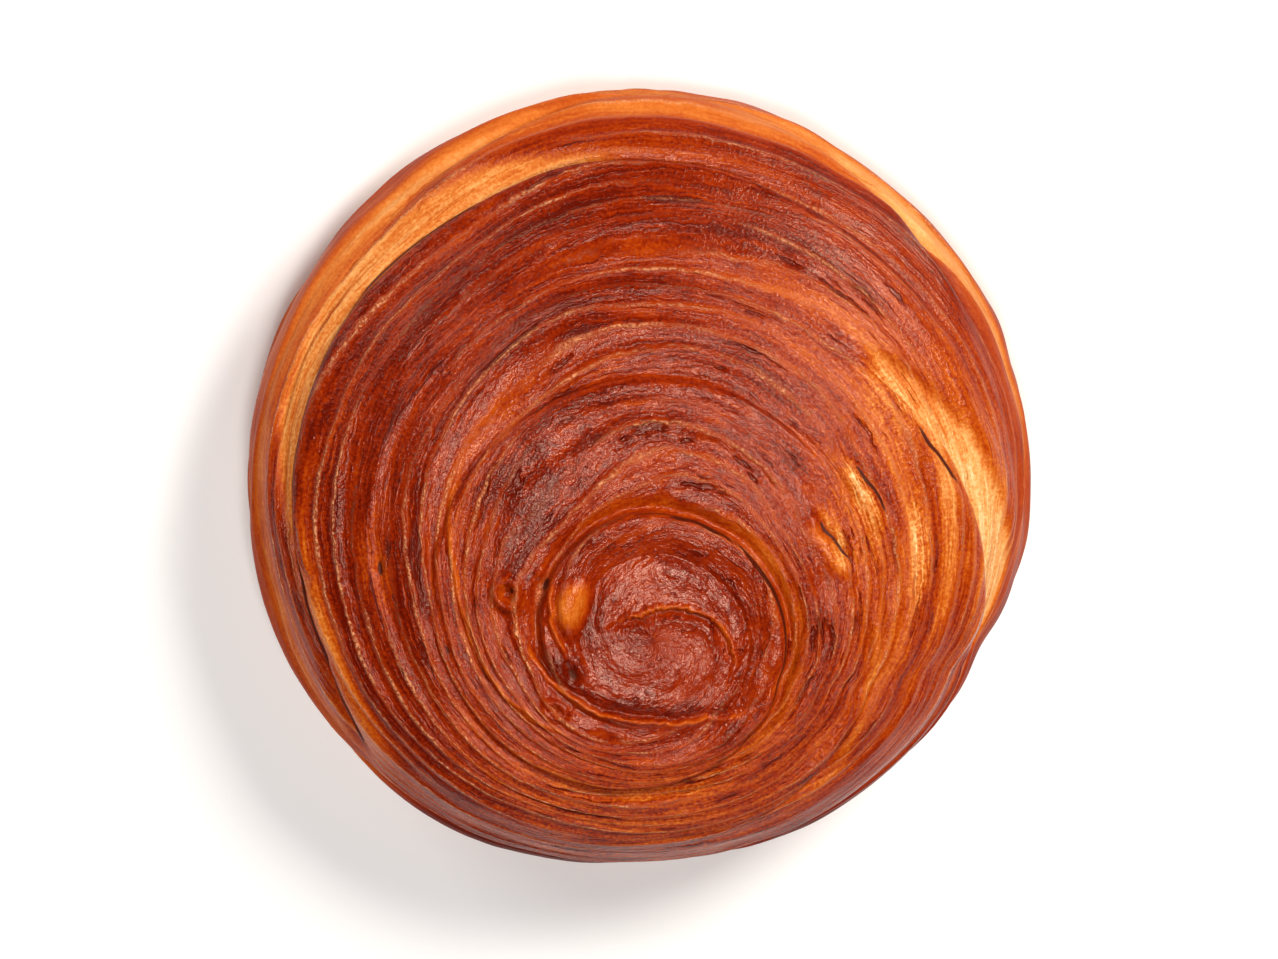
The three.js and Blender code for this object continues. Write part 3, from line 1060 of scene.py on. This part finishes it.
    def write_layer_map(self, mesh: bpy.types.Mesh) -> None:
        """Writes turn and layer count at each corner, so that both run on past the seam.

        Args:
            mesh: the mesh, with its quads first and then the two fans.
        """
        turn = self.grid.turn + 0.0 * self.grid.layer
        spots = np.stack([turn, self.grid.layer / LAYERS_IN_MAP], axis=-1)
        quads = np.stack([spots[:-1, :-1], spots[:-1, 1:], spots[1:, 1:], spots[1:, :-1]], axis=-2)
        first, last = spots[0], spots[-1]
        top = np.stack([first[:-1], first[1:], first[:-1]], axis=-2)
        bottom = np.stack([last[:-1], last[:-1], last[1:]], axis=-2)
        numbers = np.concatenate([part.reshape(-1) for part in (quads, top, bottom)])
        mesh.uv_layers.new(name=LAYER_MAP).uv.foreach_set("vector", numbers.astype(np.float32))

    def build(self, finish: EggWashedCrust) -> bpy.types.Object:
        """Makes the crust, dresses it, hides the part that it stands for and hangs it under its body.

        Args:
            finish: the crust's material.

        Returns:
            The finished piece.
        """
        piece = self.build_mesh()
        piece.data.materials.append(finish.material())
        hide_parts(self.node)
        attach(piece, self.body)
        return piece


@dataclass(frozen=True)
class SoftBox:
    """A square studio light; sizes in metres, power in watts."""

    name: str
    place: tuple[float, float, float]
    size: float
    power: float
    colour: str = "ffffff"

    def build(self, target: Vector) -> None:
        """Adds the light, turned to the target.

        Args:
            target: point that it lights.
        """
        light = bpy.data.lights.new(self.name, "AREA")
        light.shape = "SQUARE"
        light.size = self.size
        light.energy = self.power
        light.color = linear(self.colour)[:3]
        lamp = bpy.data.objects.new(self.name, light)
        lamp.location = self.place
        lamp.rotation_euler = (target - lamp.location).to_track_quat("-Z", "Y").to_euler()
        bpy.context.scene.collection.objects.link(lamp)


@dataclass(frozen=True)
class Studio:
    """A pale floor, soft boxes in a dim white room and the camera above, its top edge towards +Y."""

    floor_size: float = 3.0
    floor_colour: str = "f4f3f1"
    floor_roughness: float = 0.9
    world_colour: str = "ffffff"
    world_strength: float = 0.08
    camera_distance: float = 1.1
    camera_tilt: float = 6.0
    fill: float = 0.8
    lights: tuple[SoftBox, ...] = (
        SoftBox("soft_box_right", (0.65, 0.58, 0.95), 0.4, 15.0, "fffaf2"),
        SoftBox("soft_box_back_left", (-0.8, 0.7, 0.6), 0.5, 4.5),
        SoftBox("soft_box_front", (0.1, -1.1, 0.5), 0.6, 2.5),
        SoftBox("soft_box_over", (0.03, -0.08, 1.35), 0.25, 9.0),
    )

    def build_floor(self) -> None:
        """Lays the floor under the bun: painted board, which is matt and near white."""
        half = self.floor_size / 2.0
        mesh = bpy.data.meshes.new("studio_floor")
        mesh.from_pydata([(-half, -half, 0.0), (half, -half, 0.0), (half, half, 0.0), (-half, half, 0.0)],
                         [], [(0, 1, 2, 3)])
        material = bpy.data.materials.new("matt_painted_board")
        material.use_nodes = True
        shader = material.node_tree.nodes["Principled BSDF"]
        shader.inputs["Base Color"].default_value = linear(self.floor_colour)
        shader.inputs["Roughness"].default_value = self.floor_roughness
        mesh.materials.append(material)
        floor = bpy.data.objects.new("studio_floor", mesh)
        bpy.context.scene.collection.objects.link(floor)

    def build_camera(self, low: Vector, high: Vector) -> None:
        """Hangs the camera over the bun, a few degrees towards the back, so that the bun fills the frame.

        Args:
            low: lowest corner of the bun's box.
            high: highest corner.
        """
        tilt = math.radians(self.camera_tilt)
        target = (low + high) / 2.0
        camera = bpy.data.cameras.new("camera")
        frame_height = (high.y - low.y) / self.fill
        frame_width = frame_height * PHOTO_WIDTH / PHOTO_HEIGHT
        camera.lens = camera.sensor_width * self.camera_distance / frame_width
        view = bpy.data.objects.new("camera", camera)
        view.location = target + self.camera_distance * Vector((0.0, math.sin(tilt), math.cos(tilt)))
        view.rotation_euler = (-tilt, 0.0, 0.0)
        bpy.context.scene.collection.objects.link(view)
        bpy.context.scene.camera = view

    def build(self, low: Vector, high: Vector) -> None:
        """Sets up the floor, the light and the camera round the bun's box.

        Args:
            low: lowest corner of the box.
            high: highest corner.
        """
        scene = bpy.context.scene
        scene.view_settings.view_transform = "Standard"
        world = bpy.data.worlds.new("studio")
        world.use_nodes = True
        background = world.node_tree.nodes["Background"]
        background.inputs["Color"].default_value = linear(self.world_colour)
        background.inputs["Strength"].default_value = self.world_strength
        scene.world = world
        self.build_floor()
        for light in self.lights:
            light.build((low + high) / 2.0)
        self.build_camera(low, high)


def main() -> None:
    """Builds the bun and the studio, in order."""
    logging.basicConfig(level=logging.INFO, format="%(name)s: %(message)s")
    crust = BunCrust().build(EggWashedCrust())
    log.info("%s has %d points and %d faces", crust.name, len(crust.data.vertices), len(crust.data.polygons))
    low, high = (Vector(corner) for corner in cad_box)
    Studio().build(low, high)
    log.info("studio is set up round %s to %s", tuple(low), tuple(high))


if __name__ == "__main__":
    main()
